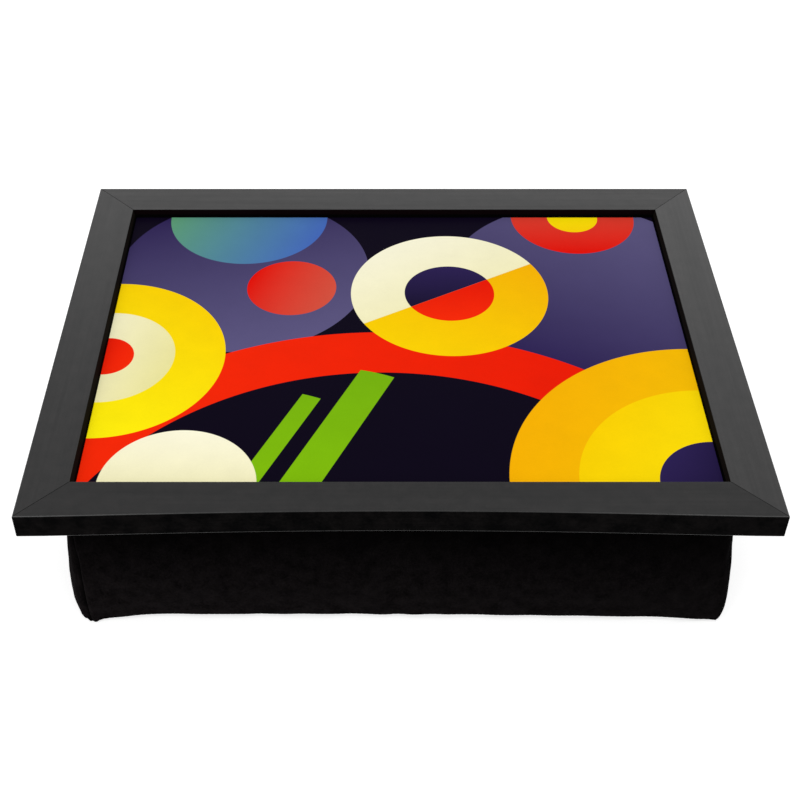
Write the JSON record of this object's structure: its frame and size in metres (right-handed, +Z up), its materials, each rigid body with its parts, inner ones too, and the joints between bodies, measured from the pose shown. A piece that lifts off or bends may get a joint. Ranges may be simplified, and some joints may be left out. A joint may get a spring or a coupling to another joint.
{
  "type": "cushioned lap tray",
  "caption": "Shallow framed lap tray with a printed surface and mitred black rails, fixed on a soft black bean cushion that steadies it on a lap or a table.",
  "frame": {"origin": "on the table, under the middle of the tray", "axes": "+X to the right along the long side, +Y from the front edge to the back edge, +Z up out of the tray's surface"},
  "size_m": [0.43, 0.33, 0.105],
  "materials": {
    "satin_black_moulding": "black satin coating on a wooden picture moulding, with a faint grain along it",
    "print_laminate": "coloured print under a matt laminate",
    "hardboard": "bare brown hardboard",
    "zinc_steel": "zinc-plated steel strip and wire",
    "black_suede_cloth": "black suede-like woven cloth with a short nap",
    "white_bag_cloth": "thin white lining cloth"
  },
  "bodies": {
    "root": {"front_rail": "satin_black_moulding", "right_rail": "satin_black_moulding", "back_rail": "satin_black_moulding", "left_rail": "satin_black_moulding", "print_sheet": "print_laminate", "base_board": "hardboard", "backing_board": "hardboard", "v_nail_front_left_1": "zinc_steel", "v_nail_front_left_2": "zinc_steel", "v_nail_front_right_1": "zinc_steel", "v_nail_front_right_2": "zinc_steel", "v_nail_back_right_1": "zinc_steel", "v_nail_back_right_2": "zinc_steel", "v_nail_back_left_1": "zinc_steel", "v_nail_back_left_2": "zinc_steel", "framers_point_front_1": "zinc_steel", "framers_point_front_2": "zinc_steel", "framers_point_front_3": "zinc_steel", "framers_point_right_1": "zinc_steel", "framers_point_right_2": "zinc_steel", "framers_point_back_1": "zinc_steel", "framers_point_back_2": "zinc_steel", "framers_point_back_3": "zinc_steel", "framers_point_left_1": "zinc_steel", "framers_point_left_2": "zinc_steel", "staple_front_1": "zinc_steel", "staple_front_2": "zinc_steel", "staple_front_3": "zinc_steel", "staple_front_4": "zinc_steel", "staple_front_5": "zinc_steel", "staple_right_1": "zinc_steel", "staple_right_2": "zinc_steel", "staple_right_3": "zinc_steel", "staple_right_4": "zinc_steel", "staple_back_1": "zinc_steel", "staple_back_2": "zinc_steel", "staple_back_3": "zinc_steel", "staple_back_4": "zinc_steel", "staple_back_5": "zinc_steel", "staple_left_1": "zinc_steel", "staple_left_2": "zinc_steel", "staple_left_3": "zinc_steel", "staple_left_4": "zinc_steel", "cover_front_wall": "black_suede_cloth", "cover_right_wall": "black_suede_cloth", "cover_back_wall": "black_suede_cloth", "cover_left_wall": "black_suede_cloth", "cover_bottom_panel": "black_suede_cloth", "bead_bag": "white_bag_cloth"}
  },
  "joints": []
}
